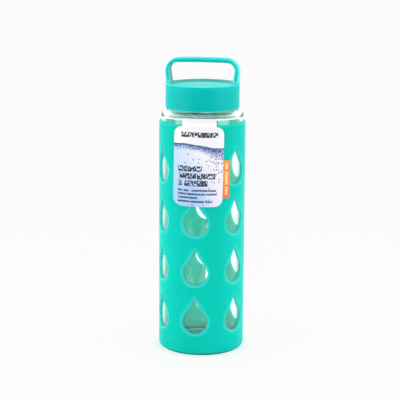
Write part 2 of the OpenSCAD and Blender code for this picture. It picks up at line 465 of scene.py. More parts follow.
def clear_glass():
    """Blown glass: a faint wobble in the wall. Lamps and bounced light pass straight through it."""
    paint = Paint("clear_glass")
    point = paint.object_point()
    wobble = paint.noise(point, 55.0, 1.0)
    seeds = paint.noise(point, 900.0, 1.0)
    height = paint.math("ADD", wobble, paint.product(seeds, 0.03))
    glass = paint.principled(
        Base_Color=(0.93, 1.0, 0.98, 1.0), Roughness=0.0, IOR=1.5, Transmission_Weight=1.0,
        Normal=paint.bump(height, 0.05, 0.0004),
    )
    clear = paint.add("ShaderNodeBsdfTransparent", Color=(0.985, 0.995, 0.992, 1.0)).outputs[0]
    path = paint.add("ShaderNodeLightPath")
    bounced = paint.add("ShaderNodeMixShader", Fac=path.outputs["Is Diffuse Ray"])
    paint.feed(bounced.inputs[1], glass)
    paint.feed(bounced.inputs[2], clear)
    lamps = paint.add("ShaderNodeMixShader", Fac=path.outputs["Is Shadow Ray"])
    paint.feed(lamps.inputs[1], bounced.outputs[0])
    paint.feed(lamps.inputs[2], clear)
    return paint.done(lamps.outputs[0])


def soft_moulded(name, light, deep, roughness, grain, grain_depth, painted_highlight=None, shade=None, **extra):
    """Moulded silicone or plastic: a colour that drifts a little from light to deep, a fine grain and
    uneven gloss. The two optional colours are painted light: a paler one painted on as highlight and a
    darker one painted on as shade, each showing as far as the mesh's attribute of the same name says."""
    paint = Paint(name)
    point = paint.object_point()
    drift = paint.rise(paint.noise(point, 22.0, 3.0), 0.3, 0.7)
    speck = paint.rise(paint.noise(point, grain, 2.0, 0.6), 0.45, 0.75)
    colour = paint.mix(paint.product(speck, 0.25), paint.mix(drift, deep, light), deep)
    # Painted highlight, then painted shade, mixed in by the mesh's per-vertex attributes
    if painted_highlight:
        edge = paint.add("ShaderNodeAttribute", {"attribute_name": "painted_highlight"}).outputs["Fac"]
        colour = paint.mix(edge, colour, painted_highlight)
    if shade:
        painted_shade_mask = paint.add("ShaderNodeAttribute", {"attribute_name": "shade"}).outputs["Fac"]
        colour = paint.mix(painted_shade_mask, colour, shade)
    gloss = paint.rise(paint.noise(point, 60.0, 3.0), 0.25, 0.75, roughness - 0.05, roughness + 0.05)
    shader = paint.principled(
        Base_Color=colour, Roughness=gloss,
        Normal=paint.bump(paint.noise(point, grain, 3.0, 0.6), 0.35, grain_depth), **extra,
    )
    return paint.done(shader)


def strokes(paint, u, v, line, pitch, least):
    """Uneven broken marks along a line, in groups with gaps between them, which spell nothing. A mark
    stands where a noise is over least, so a higher least leaves fewer marks."""
    up = paint.math("MULTIPLY_ADD", v, MARK_SCALE_UP / pitch, line * MARK_LINE_STEP)
    marks_at = paint.combine(paint.product(u, 1 / pitch), up)
    marks = paint.rise(paint.noise(marks_at, 1.0, 0.0), least - 0.04, least + 0.04)
    groups_at = paint.combine(paint.product(u, GROUP_SCALE / pitch), line * GROUP_LINE_STEP)
    groups = paint.rise(paint.noise(groups_at, 1.0, 0.0), 0.30, 0.34)
    return paint.product(marks, groups)


def mark_line(paint, u, v, area, line, pitch, least):
    """One line of broken marks as a mask. area is its (left, right, base, height)."""
    left, right, base, height = area
    inside = paint.product(paint.within(u, left, right, 0.1), paint.within(v, base, base + height, 0.12))
    return paint.product(inside, strokes(paint, u, v, line, pitch, least))


PAPER = rgb(252, 251, 254)
WATER_TOP = rgb(253, 252, 255)
WATER_FOOT = rgb(172, 206, 250)
WATER_LEFT = rgb(176, 212, 254)
WATER_RIGHT = rgb(252, 246, 254)
CHURN_DARK = rgb(30, 72, 150)
CHURN_LIGHT = rgb(140, 190, 244)
FLECK = rgb(30, 58, 128)
CREST = rgb(36, 48, 92)
BUBBLE = rgb(62, 84, 140)
INK = rgb(20, 25, 42)


def label_print():
    """White card printed with water, bubbles and lines of broken marks. u and v are its print's
    millimetres, and depth is how far below the water line a point lies."""
    paint = Paint("label_print")
    uv = paint.add("ShaderNodeUVMap", {"uv_map": "print"}).outputs[0]
    split = paint.add("ShaderNodeSeparateXYZ", Vector=uv)
    u, v = split.outputs[0], split.outputs[1]
    point = paint.combine(u, v)

    # The water line, and how far the print lies to each side
    ripple = paint.product(paint.math("SINE", paint.product(u, 0.42)), 0.22)
    chop = paint.product(paint.math("SUBTRACT", paint.noise(point, 0.5, 2.0), 0.5), 0.8)
    slope = paint.rise(u, -12.0, 22.0, 49.9, 46.3)
    level = paint.math("ADD", slope, paint.math("ADD", ripple, chop))
    depth = paint.math("SUBTRACT", level, v)
    under = paint.rise(depth, -0.1, 0.15)
    to_right = paint.rise(u, -4.0, 19.0)
    to_left = paint.rise(u, 4.0, -20.0)

    # Pale water
    pale = paint.mix(paint.rise(depth, 3.0, 44.0), WATER_TOP, WATER_FOOT)
    pale = paint.mix(paint.product(to_left, 0.7), pale, WATER_LEFT)
    pale = paint.mix(paint.product(to_right, 0.8), pale, WATER_RIGHT)
    card = paint.mix(under, PAPER, pale)

    # Churned water, dark flecks and the crest
    churn = paint.noise(point, 0.55, 3.0, 0.6)
    near = paint.rise(depth, paint.math("MULTIPLY_ADD", to_right, 5.0, 5.8), 0.6)
    blue = paint.mix(paint.rise(churn, 0.40, 0.60), CHURN_DARK, CHURN_LIGHT)
    card = paint.mix(paint.product(under, near, paint.rise(churn, 0.72, 0.52, 0.15, 1.0)), card, blue)
    reach = paint.math("MULTIPLY_ADD", to_right, 13.0, 3.0)
    flecks = paint.rise(paint.noise(point, 0.9, 3.0, 0.65), 0.525, 0.58)
    spread = paint.product(paint.rise(depth, reach, 0.5), flecks)
    card = paint.mix(paint.product(under, spread, 0.9), card, FLECK)
    crest = paint.product(paint.within(depth, -0.3, 0.7, 0.18), paint.rise(u, 22.0, -24.0, 0.75, 1.0))
    card = paint.mix(crest, card, CREST)

    # Bubbles: rings round some cells' middles, most of them to the right
    flat = {"voronoi_dimensions": "2D"}
    cells = paint.add("ShaderNodeTexVoronoi", flat, Vector=point, Scale=0.46, Randomness=1.0)
    ring = paint.within(cells.outputs["Distance"], 0.05, 0.28, 0.05)
    chosen = paint.add("ShaderNodeSeparateColor", Color=cells.outputs["Color"]).outputs[0]
    crowd = paint.product(paint.rise(depth, 1.0, 3.0), paint.rise(depth, 34.0, 8.0))
    few = paint.math("MULTIPLY_ADD", paint.product(crowd, paint.rise(u, 3.0, 17.0)), -0.75, 0.93)
    kept = paint.math("GREATER_THAN", chosen, few)
    bubbles = paint.product(ring, kept, under, paint.rise(depth, 1.0, 2.5))
    card = paint.mix(paint.product(bubbles, 0.8), card, BUBBLE)

    # A line of marks at the head, the headings and the small lines
    lines = [mark_line(paint, u, v, HEAD_LINE, 1.6, pitch=1.15, least=0.40)]
    for i, (right, base) in enumerate(HEADINGS):
        area = (PRINT_LEFT, right, base, HEADING_H)
        lines.append(mark_line(paint, u, v, area, 2.0 + i, pitch=1.05, least=0.42))
    for i, (right, base) in enumerate(SMALL_LINES):
        area = (PRINT_LEFT, right, base, SMALL_H)
        lines.append(mark_line(paint, u, v, area, 6.0 + i, pitch=0.5, least=0.37))
    card = paint.mix(paint.product(paint.either(*lines), 0.95), card, INK)
    fibre = paint.noise(point, 6.0, 3.0, 0.7)
    gloss = paint.rise(fibre, 0.2, 0.8, 0.30, 0.42)
    shader = paint.principled(
        Base_Color=card, Roughness=gloss, Specular_IOR_Level=0.35,
        Normal=paint.bump(fibre, 0.05, 0.00005),
    )
    return paint.done(shader)


STICKER_FOOT = rgb(247, 110, 40)
STICKER_HEAD = rgb(246, 146, 52)
STICKER_MARKS = rgb(255, 226, 180)


def sticker_print():
    """Orange film that reddens towards its foot, with pale broken marks running up it."""
    paint = Paint("sticker_print")
    uv = paint.add("ShaderNodeUVMap", {"uv_map": "print"}).outputs[0]
    split = paint.add("ShaderNodeSeparateXYZ", Vector=uv)
    u, v = split.outputs[0], split.outputs[1]
    point = paint.combine(u, v)
    ground = paint.mix(paint.rise(v, 0.0, 16.0), STICKER_FOOT, STICKER_HEAD)
    marks = paint.product(
        paint.within(u, -1.1, 1.0, 0.15), paint.within(v, 2.5, STICKER_H - 2.2, 0.15),
        strokes(paint, v, u, 1.0, pitch=0.9, least=0.40),
    )
    colour = paint.mix(paint.product(marks, 0.9), ground, STICKER_MARKS)
    fibre = paint.noise(point, 6.0, 3.0, 0.7)
    shader = paint.principled(
        Base_Color=colour, Roughness=paint.rise(fibre, 0.2, 0.8, 0.32, 0.44),
        Specular_IOR_Level=0.35, Normal=paint.bump(fibre, 0.05, 0.00005),
    )
    return paint.done(shader)


# ---------------------------------------------------------------- glass


def glass_bottle():
    """One closed skin: out from the push-up under the base, up to the rim, and down inside."""
    inner_r = GLASS_R - GLASS_WALL
    floor_z = GLASS_FOOT_Z + GLASS_BASE
    ceiling_z = SHOULDER_Z - GLASS_WALL
    push_up = []
    for i in range(PUSH_UP_STEPS + 1):
        t = i / PUSH_UP_STEPS
        push_up.append((PUSH_UP_R * t, GLASS_FOOT_Z + PUSH_UP_H * (1 - t**3)))
    outside = (
        push_up
        + arc(GLASS_R - GLASS_HEEL_R, GLASS_FOOT_Z + GLASS_HEEL_R, GLASS_HEEL_R, -90, 0, 12)
        + arc(GLASS_R - SHOULDER_R, SHOULDER_Z - SHOULDER_R, SHOULDER_R, 0, 90, 14)
        + arc(NECK_R + NECK_FILLET_R, SHOULDER_Z + NECK_FILLET_R, NECK_FILLET_R, 270, 180, 6)
    )
    neck_z = SHOULDER_Z + NECK_PLAIN_H
    neck = subdivide([(NECK_R, neck_z), (NECK_R, RIM_Z - RIM_ROUND_R)], THREAD_STEP)
    inside = (
        arc(NECK_R - RIM_ROUND_R, RIM_Z - RIM_ROUND_R, RIM_ROUND_R, 0, 90, 6)[1:]
        + arc(MOUTH_R + RIM_ROUND_R, RIM_Z - RIM_ROUND_R, RIM_ROUND_R, 90, 180, 6)
        + arc(MOUTH_R + RIM_ROUND_R, ceiling_z + RIM_ROUND_R, RIM_ROUND_R, 180, 270, 6)
        + arc(inner_r - GLASS_KNEE_R, ceiling_z - GLASS_KNEE_R, GLASS_KNEE_R, 90, 0, 8)
        + arc(inner_r - GLASS_INNER_HEEL_R, floor_z + GLASS_INNER_HEEL_R, GLASS_INNER_HEEL_R, 0, -90, 20)
        + [(GLASS_HUB_R, floor_z), (0, floor_z)]
    )

    def thread(azimuth, r, z):
        if r < NECK_R - TINY or z <= neck_z:
            return 0
        return RIDGE_DEPTH * ridge_height(azimuth, z, NECK_RIDGE_Z, NECK_RIDGE_TURNS)

    bm = bmesh.new()
    lathe(bm, outside + neck + inside, full_turn(GLASS_TURNS), thread)
    obj = finish_mesh("glass_bottle_blown", bm, clear_glass(), 60)
    place(obj, "glass_bottle", "bottle")


# ---------------------------------------------------------------- sleeve


def cell_edge(centre_z):
    """A window's cell as (azimuth, z) points, clockwise from the middle of its top edge."""
    half_turn = math.pi / COLUMNS
    half_up = ROW_PITCH / 2
    right = [(half_turn * 2 * i / CELL_ACROSS, half_up) for i in range(CELL_ACROSS // 2)]
    right += [(half_turn, half_up - ROW_PITCH * i / CELL_UP) for i in range(CELL_UP)]
    right += [(half_turn * (1 - 2 * i / CELL_ACROSS), -half_up) for i in range(CELL_ACROSS // 2 + 1)]
    left = [(-a, z) for a, z in right[-2:0:-1]]
    return [(a, z + centre_z) for a, z in right + left]


def window_cell(bm, turn, tip_z, outline):
    """The sleeve's wall round one window, from its outer face over the rounded lip to its bore."""
    edge = cell_edge(tip_z - WINDOW_H / 2)
    painted_highlight = bm.verts.layers.float.get("painted_highlight") or bm.verts.layers.float.new("painted_highlight")

    def on_wall(points, r):
        return [(math.asin(x / r), z + tip_z) for x, z in points]

    def between(a, b, t):
        return [(p[0] + (q[0] - p[0]) * t, p[1] + (q[1] - p[1]) * t) for p, q in zip(a, b)]

    def ring(points, r, highlight):
        made = [bm.verts.new(polar(r, a + turn, z)) for a, z in points]
        for vert in made:
            vert[painted_highlight] = highlight
        return made

    # Painted highlight: the lip rings and the bore's first ring get the full amount, the ring where the
    # lip starts a third of it
    lip_start = on_wall(outward(outline, LIP_W), SLEEVE_R)
    rings = []
    for i in range(WALL_RINGS + 1):
        highlight = LIP_HIGHLIGHT / 3 if i == WALL_RINGS else 0.0
        rings.append(ring(between(edge, lip_start, i / WALL_RINGS), SLEEVE_R, highlight))
    for i in range(1, LIP_RINGS + 1):
        a = math.radians(90 * i / LIP_RINGS)
        r = SLEEVE_R - LIP_DEPTH * (1 - math.cos(a))
        side = WINDOW_DRAFT + (LIP_W - WINDOW_DRAFT) * (1 - math.sin(a))
        rings.append(ring(on_wall(outward(outline, side), r), r, LIP_HIGHLIGHT))
    bore = on_wall(outward(outline, -WINDOW_DRAFT), SLEEVE_BORE_R)
    for i in range(WALL_RINGS + 1):
        highlight = LIP_HIGHLIGHT if i == 0 else 0.0
        rings.append(ring(between(bore, edge, i / WALL_RINGS), SLEEVE_BORE_R, highlight))
    for a, b in zip(rings, rings[1:]):
        bridge(bm, a, b)


def silicone_sleeve(material):
    """Rows of window cells, closed by a foot, the well that the glass stands in, and a hem on top."""
    outline = window_outline(CELL_ACROSS + CELL_UP)
    bm = bmesh.new()
    turns = [math.radians(COLUMN_TURN + 360 * k / COLUMNS) for k in range(COLUMNS)]
    for row in range(ROWS):
        for turn in turns:
            window_cell(bm, turn, FIRST_TIP_Z + row * ROW_PITCH, outline)
    margin = (ROW_PITCH - WINDOW_H) / 2
    low_z = FIRST_TIP_Z - WINDOW_H - margin
    high_z = FIRST_TIP_Z + (ROWS - 1) * ROW_PITCH + margin
    angles = full_turn(COLUMNS * CELL_ACROSS, math.radians(COLUMN_TURN) - math.pi / COLUMNS)
    groove_out = GROOVE_R + GROOVE_W
    foot = (
        [(SLEEVE_R, low_z)]
        + arc(SLEEVE_R - SLEEVE_HEEL_R, SLEEVE_HEEL_R, SLEEVE_HEEL_R, 0, -90, 16)
        + [(groove_out, 0), (groove_out, GROOVE_DEPTH), (GROOVE_R, GROOVE_DEPTH), (GROOVE_R, 0)]
        + [(SLEEVE_FOOT_HUB_R, 0), (0, 0)]
    )
    heel_r = SLEEVE_INNER_HEEL_R
    well = (
        [(0, SLEEVE_FLOOR), (SLEEVE_WELL_HUB_R, SLEEVE_FLOOR)]
        + arc(SLEEVE_BORE_R - heel_r, SLEEVE_FLOOR + heel_r, heel_r, -90, 0, 8)
        + [(SLEEVE_BORE_R, low_z)]
    )
    outer_r, inner_r = SLEEVE_EDGE_R, SLEEVE_EDGE_R / 2
    hem = (
        [(SLEEVE_R, high_z)]
        + arc(SLEEVE_R - outer_r, SLEEVE_TOP - outer_r, outer_r, 0, 90, 8)
        + arc(SLEEVE_BORE_R + inner_r, SLEEVE_TOP - inner_r, inner_r, 90, 180, 6)
        + [(SLEEVE_BORE_R, high_z)]
    )
    for profile in (foot, well, hem):
        lathe(bm, subdivide(profile, SLEEVE_STEP), angles)
    # Painted shade: the heel's rounding darkens towards the floor, fully in its lowest part, as in the
    # shadow where it stands
    shade = bm.verts.layers.float.new("shade")
    for vert in bm.verts:
        x, y, z = vert.co / MM
        if SLEEVE_R - math.hypot(x, y) < SLEEVE_HEEL_R:
            vert[shade] = min(1, max(0, 2 - 2 * z / FOOT_SHADE_H))
    obj = finish_mesh("silicone_sleeve_moulded", bm, material, 50)
    place(obj, "silicone_sleeve", "bottle")


# ---------------------------------------------------------------- label and sticker


def film(name, rows, across, centre_x, pivot_z, radius, material):
    """A thin curved sheet. rows are (z, half width) from its foot up, drawn flat round centre_x and
    leaned about pivot_z, then laid on the wall, whose radius at a height radius gives. Its print
    coordinates are millimetres along the wall from its middle and up from its foot. The back's lie
    far above them, where nothing is printed."""
    bm = bmesh.new()
    uv_layer = bm.loops.layers.uv.new("print")
    prints = {}
    faces = []
    for lift in (FILM_T, 0):
        grid = []
        for z, half in rows:
            line = []
            for i in range(across + 1):
                x = half * (2 * i / across - 1)
                off = z - pivot_z
                flat_x = centre_x + x * math.cos(LABEL_LEAN) - off * math.sin(LABEL_LEAN)
                flat_z = pivot_z + x * math.sin(LABEL_LEAN) + off * math.cos(LABEL_LEAN)
                r = radius(flat_z) + lift
                vert = bm.verts.new(polar(r, math.asin(flat_x / r), flat_z))
                prints[vert] = (SLEEVE_R * math.asin(x / SLEEVE_R), z - rows[0][0])
                line.append(vert)
            grid.append(line)
        for low, high in zip(grid, grid[1:]):
            bridge(bm, low, high, closed=False)
        faces.append(grid)
    outer, inner = faces
    rims = [
        (outer[0], inner[0]),
        (outer[-1], inner[-1]),
        ([line[0] for line in outer], [line[0] for line in inner]),
        ([line[-1] for line in outer], [line[-1] for line in inner]),
    ]
    for a, b in rims:
        bridge(bm, a, b, closed=False)
    back = {vert for line in inner for vert in line}
    for face in bm.faces:
        unprinted = PRINT_FREE if all(vert in back for vert in face.verts) else 0
        for loop in face.loops:
            u, v = prints[loop.vert]
            loop[uv_layer].uv = (u, v + unprinted)
    return finish_mesh(name, bm, material, 40)


def rounded_rows(bottom, top, half, r, steps, spacing):
    """(z, half width) up a rectangle with rounded corners."""
    angles = [math.pi / 2 * i / steps for i in range(steps + 1)]
    foot = [(bottom + r * (1 - math.cos(a)), half - r * (1 - math.sin(a))) for a in angles]
    head = [(bottom + top - z, w) for z, w in reversed(foot)]
    n = math.ceil((head[0][0] - foot[-1][0]) / spacing)
    middle = [(foot[-1][0] + (head[0][0] - foot[-1][0]) * i / n, half) for i in range(1, n)]
    return foot + middle + head


def labels():
    """The card, whose tab steps in from the sleeve to the bare glass, and the sticker beside it."""
    middle = (LABEL_BOTTOM + LABEL_TOP) / 2
    on_sleeve = SLEEVE_R + FILM_GAP
    on_glass = GLASS_R + FILM_GAP
    bend_z = SLEEVE_TOP - 0.1

    def card_radius(z):
        t = min(1, max(0, (z - bend_z) / TAB_SLOPE))
        return on_sleeve + (on_glass - on_sleeve) * t

    body = rounded_rows(LABEL_BOTTOM, LABEL_TOP, LABEL_W / 2, LABEL_CORNER_R, 14, FILM_ROW_H)
    rows = [(z, max(w, TAB_W / 2) if z > middle else w) for z, w in body]
    for i in range(1, TAB_ROWS + 1):
        rows.append((LABEL_TOP + (TAB_TOP - LABEL_TOP) * i / TAB_ROWS, TAB_W / 2))
    card = film("label_card_printed", rows, 40, LABEL_SHIFT, middle, card_radius, label_print())
    place(card, "label_card", "bottle")

    reach = LABEL_W / 2 + FILM_GAP + STICKER_W / 2
    sticker_middle = STICKER_BOTTOM + STICKER_H / 2
    shift = LABEL_SHIFT + reach * math.cos(LABEL_LEAN) - (sticker_middle - middle) * math.sin(LABEL_LEAN)
    drop = reach * math.sin(LABEL_LEAN)
    foot_z, head_z = STICKER_BOTTOM + drop, STICKER_BOTTOM + STICKER_H + drop
    rows = rounded_rows(foot_z, head_z, STICKER_W / 2, STICKER_ROUND_R, 5, FILM_ROW_H)
    pivot = sticker_middle + drop
    sticker = film("label_sticker_printed", rows, 10, shift, pivot, lambda z: on_sleeve, sticker_print())
    place(sticker, "label_sticker", "bottle")


# ---------------------------------------------------------------- cap


def loop_stations():
    """(outer point, inner point) in the loop's plane, from the right foot over the top to the left."""
    half_top, half_foot = LOOP_W / 2, LOOP_FOOT_W / 2
    half_grip, half_grip_foot = GRIP_TOP_W / 2, GRIP_FOOT_W / 2
    grip_top_z = CAP_TOP - BAR_T
    bend_z, grip_bend_z = CAP_TOP - LOOP_CORNER_R, grip_top_z - LOOP_INNER_CORNER_R
    leg = [(half_foot, DISH_Z), (half_foot, CAP_RIM_Z + LOOP_UPRIGHT_H), (half_top, bend_z)]
    corner = arc(half_top - LOOP_CORNER_R, bend_z, LOOP_CORNER_R, 0, 90, LOOP_CORNER_STEPS)
    outer = subdivide(leg, LOOP_STEP) + corner[1:]
    inner_leg = [(half_grip_foot, DISH_Z), (half_grip_foot, CAP_RIM_Z), (half_grip, grip_bend_z)]
    inner_x = half_grip - LOOP_INNER_CORNER_R
    inner_corner = arc(inner_x, grip_bend_z, LOOP_INNER_CORNER_R, 0, 90, LOOP_CORNER_STEPS)
    inner = resample(inner_leg, len(outer) - len(inner_corner)) + inner_corner[1:]
    half = list(zip(outer, inner))
    for i in range(1, BAR_STEPS + 1):
        t = i / BAR_STEPS
        half.append(((outer[-1][0] * (1 - t), CAP_TOP), (inner[-1][0] * (1 - t), grip_top_z)))

    def arched(point):
        """The point let down by the bar's arch, which is high in the middle."""
        x, z = point
        high = min(1, max(0, (z - CAP_RIM_Z) / LOOP_H))
        return x, z - LOOP_ARCH * high * (x / half_top) ** 2

    half = [(arched(a), arched(b)) for a, b in half]
    return half + [((-a[0], a[1]), (-b[0], b[1])) for a, b in reversed(half[:-1])]


def loop_half_depth(z):
    """Half the strap's depth, which flares into the cap's rim."""
    top = CAP_RIM_Z + LOOP_FLARE_R - LOOP_FLARE_SINK
    if z >= top:
        return LOOP_DEPTH / 2
    fall = min(LOOP_FLARE_R, top - z)
    return LOOP_DEPTH / 2 + LOOP_FLARE_R - math.sqrt(LOOP_FLARE_R**2 - fall**2)


def loop_reach(z):
    """The loop's outer radius, a hair inside the skirt's at its foot."""
    t = min(1, max(0, (z - CAP_RIM_Z + LOOP_MERGE_DROP) / LOOP_MERGE_H))
    return CAP_R - LOOP_INSET + (LOOP_OUT_R - CAP_R) * t * t * (3 - 2 * t)


def strap_section(half_depth, thickness):
    """Points of the strap's rounded section: (from 0 at its inner face to 1 at its outer one, y)."""
    r = LOOP_ROUNDNESS * thickness
    half_t = thickness / 2
    out = []
    for corner, (sx, sy) in enumerate([(1, 1), (-1, 1), (-1, -1), (1, -1)]):
        out += arc(sx * (half_t - r), sy * (half_depth - r), r, 90 * corner, 90 * corner + 90, 7)
    return [((x + half_t) / thickness, y) for x, y in out]


def carry_loop(bm):
    """The strap swept from foot to foot, and held within loop_reach of the axis."""
    rings = []
    for (ox, oz), (ix, iz) in loop_stations():
        thickness = math.hypot(ox - ix, oz - iz)
        ring = []
        for s, y in strap_section(loop_half_depth((oz + iz) / 2), thickness):
            x, z = ix + (ox - ix) * s, iz + (oz - iz) * s
            most = math.sqrt(loop_reach(z) ** 2 - y * y)
            ring.append(bm.verts.new(Vector((min(most, max(-most, x)), y, z)) * MM))
        rings.append(ring)
    for a, b in zip(rings, rings[1:]):
        bridge(bm, a, b)
    for end in (rings[0], rings[-1]):
        bm.faces.new(end)
    bmesh.ops.rotate(bm, verts=bm.verts, matrix=Matrix.Rotation(math.radians(LOOP_TURN), 3, "Z"))


def strap_tone(here, facing):
    """(painted highlight, painted shade) at a point of the strap, in the loop's own axes. Its front and
    back edges get a painted highlight, the legs' strongest near their feet, the legs' outer sides a
    lighter one too, and the faces inside the loop painted shade."""
    beyond = Vector((abs(here.x) - LOOP_W / 2 + LOOP_CORNER_R, here.z - CAP_TOP + LOOP_CORNER_R))
    away = Vector([max(0, value) for value in beyond]).normalized()
    leg = away.x
    inward = -facing.x * math.copysign(away.x, here.x) - facing.z * away.y
    edge = 4 * facing.y**2 * (1 - facing.y**2)
    low = 1 - (here.z - CAP_RIM_Z) / LOOP_H
    painted_highlight = edge * leg * LEG_EDGE_HIGHLIGHT * min(1, 2 * low)
    painted_highlight += leg * LEG_SIDE_HIGHLIGHT * max(0, -inward) ** 2
    if inward < 0:
        painted_highlight += edge * (1 - leg) * BAR_EDGE_HIGHLIGHT
    return painted_highlight, GRIP_SHADE * max(0, inward) ** GRIP_SHADE_FOCUS


def cap_tone(point, normal):
    """(painted highlight, painted shade) at a point of the cap. The lower edge, the rim and the dish are
    lightened as painted highlight, the dish's wall is darkened as painted shade, and the strap's share
    comes from strap_tone."""
    r = math.hypot(point.x, point.y)
    if point.z < CAP_Z + CAP_EDGE_R:
        return LOWER_EDGE_HIGHLIGHT, 0
    if point.z > CAP_RIM_Z + CAP_RIM_R:
        turn_back = Matrix.Rotation(math.radians(-LOOP_TURN), 3, "Z")
        return strap_tone(turn_back @ point, turn_back @ normal)
    if point.z > DISH_Z - TONE_MARGIN and r < DISH_R + CAP_RIM_R / 2:
        inward = -(normal.x * point.x + normal.y * point.y) / max(r, 1)
        on_wall = point.z > DISH_Z + TONE_MARGIN
        return DISH_HIGHLIGHT, DISH_SHADE * max(0, inward) if on_wall else 0
    on_rim = point.z > CAP_RIM_Z - CAP_RIM_R / 2 and r > CAP_R - CAP_RIM_R
    return RIM_HIGHLIGHT * on_rim, 0


def cap_shell(material):
    """The cap's body and its carry loop, joined into one closed skin."""
    profile = (
        [(0, PLATE_Z), (CAP_HUB_R, PLATE_Z), (CAP_IN_R, PLATE_Z), (CAP_IN_R, CAP_Z + CAP_EDGE_R / 2)]
        + arc(CAP_R - CAP_EDGE_R, CAP_Z + CAP_EDGE_R, CAP_EDGE_R, -90, 0, 6)
        + arc(CAP_R - CAP_RIM_R, CAP_RIM_Z - CAP_RIM_R, CAP_RIM_R, 0, 90, 8)
        + arc(DISH_R + CAP_RIM_R / 2, CAP_RIM_Z - CAP_RIM_R / 2, CAP_RIM_R / 2, 90, 180, 6)
        + arc(DISH_R - DISH_FILLET_R, DISH_Z + DISH_FILLET_R, DISH_FILLET_R, 0, -90, 8)
        + [(CAP_HUB_R, DISH_Z), (0, DISH_Z)]
    )
    bm = bmesh.new()
    lathe(bm, subdivide(profile, CAP_STEP), full_turn(CAP_TURNS))
    shell = finish_mesh("cap_shell_moulded", bm, material, 50)
    bm = bmesh.new()
    carry_loop(bm)
    loop = finish_mesh("carry_loop_strap", bm, material, 50)
    union = shell.modifiers.new("join_loop", "BOOLEAN")
    union.operation = "UNION"
    union.solver = "EXACT"
    union.object = loop
    evaluated = shell.evaluated_get(bpy.context.evaluated_depsgraph_get())
    joined = bpy.data.meshes.new_from_object(evaluated)
    shell.modifiers.clear()
    shell.data = joined
    bpy.data.objects.remove(loop)
    # Painted highlight and painted shade, one number each per vertex
    painted_highlight = joined.attributes.new("painted_highlight", "FLOAT", "POINT")
    shade = joined.attributes.new("shade", "FLOAT", "POINT")
    for i, vert in enumerate(joined.vertices):
        painted_highlight.data[i].value, shade.data[i].value = cap_tone(vert.co / MM, vert.normal)
    place(shell, "cap_shell", "cap")


def thread_liner(material):
    """The ring inside the cap, with the thread's ridge standing in from its bore."""
    low, high = liner_low.z, liner_high.z

    def thread(azimuth, r, z):
        if r > LINER_R + TINY or not low + LINER_PLAIN_H < z < high - LINER_PLAIN_H:
            return 0
        return -RIDGE_DEPTH * ridge_height(azimuth, z, LINER_RIDGE_Z, LINER_RIDGE_TURNS)

    foot_z = low + LINER_CHAMFER
    profile = (
        [(CAP_IN_R, foot_z), (CAP_IN_R, high)]
        + subdivide([(LINER_R, high), (LINER_R, foot_z)], THREAD_STEP)
        + [(LINER_R + LINER_CHAMFER, low), (CAP_IN_R - LINER_CHAMFER, low), (CAP_IN_R, foot_z)]
    )
    bm = bmesh.new()
    lathe(bm, profile, full_turn(CAP_TURNS), thread)
    obj = finish_mesh("thread_liner_moulded", bm, material, 30)
    place(obj, "thread_liner", "cap")


def seal_ring(material):
    """A flat ring with rounded edges."""
    r = SEAL_ROUND_R
    outer_x, inner_x = seal_high.x - r, SEAL_INNER_R + r
    low, high = seal_low.z + r, seal_high.z - r
    profile = (
        arc(outer_x, high, r, 0, 90, 4)
        + arc(inner_x, high, r, 90, 180, 4)
        + arc(inner_x, low, r, 180, 270, 4)
        + arc(outer_x, low, r, 270, 360, 4)
    )
    bm = bmesh.new()
    lathe(bm, profile + profile[:1], full_turn(CAP_TURNS))
    obj = finish_mesh("seal_ring_moulded", bm, material, 40)
    place(obj, "seal_ring", "seal")


# ---------------------------------------------------------------- studio

# Camera and lamps: metres and degrees, with the lens and its sensor in millimetres
CAMERA_DISTANCE = 1.0
CAMERA_HEIGHT = 0.3347
CAMERA_PITCH = 12.015
CAMERA_ROLL = 0.39
CAMERA_LENS = 112.38
CAMERA_SENSOR = 36
CAMERA_SHIFT = (-0.00464, 0.00125)
AIM_Z = 0.12

# Room and floor, in metres. Each has a brightness of its own where it is seen directly or through
# the glass. What lights the bottle and is mirrored in it is dimmer in front of the bottle.
WHITE = grey(1.0)
SEEN_DIRECTLY = 0.98
SEEN_THROUGH_GLASS = 1.25
ROOM_DIM_FROM = -0.3
ROOM_DIM_TO = -0.9
ROOM_DIM = 0.1
FLOOR_SIZE = 12
FLOOR_Z = -0.0001
FLOOR_NEAR = 0.5
FLOOR_FAR = 2.5
FLOOR_GLOW_NEAR = 0.88
FLOOR_GLOW_FAR = 0.90
FLOOR_MIRRORED = 0.65
PAINTED_FOOT_BOUNCE = (0.80, 1.0, 0.98, 1.0)
SHADED_FROM = -0.37
SHADED_TO = -0.45
SHADED = 0.04
UNDER_BOTTLE = 0.2

# A bright strip of floor, seen only where the bottle mirrors it
GLINT_TURN = 16.5
GLINT_FROM = 0.23
GLINT_TO = 0.5
GLINT_W = 0.04
GLINT_END_SOFTNESS = 0.03
GLINT_SIDE_SOFTNESS = 0.008
GLINT_STRENGTH = 25


def camera():
    """The camera in front of the bottle, looking a little down."""
    data = bpy.data.cameras.new("camera")
    data.lens = CAMERA_LENS
    data.sensor_width = CAMERA_SENSOR
    data.shift_x, data.shift_y = CAMERA_SHIFT
    obj = bpy.data.objects.new("camera", data)
    tilt = Euler((math.radians(90 - CAMERA_PITCH), 0, 0)).to_matrix()
    roll = Matrix.Rotation(math.radians(CAMERA_ROLL), 3, "Z")
    stand = Matrix.Translation((0, -CAMERA_DISTANCE, CAMERA_HEIGHT))
    obj.matrix_world = stand @ (tilt @ roll).to_4x4()
    bpy.context.scene.collection.objects.link(obj)
    bpy.context.scene.camera = obj


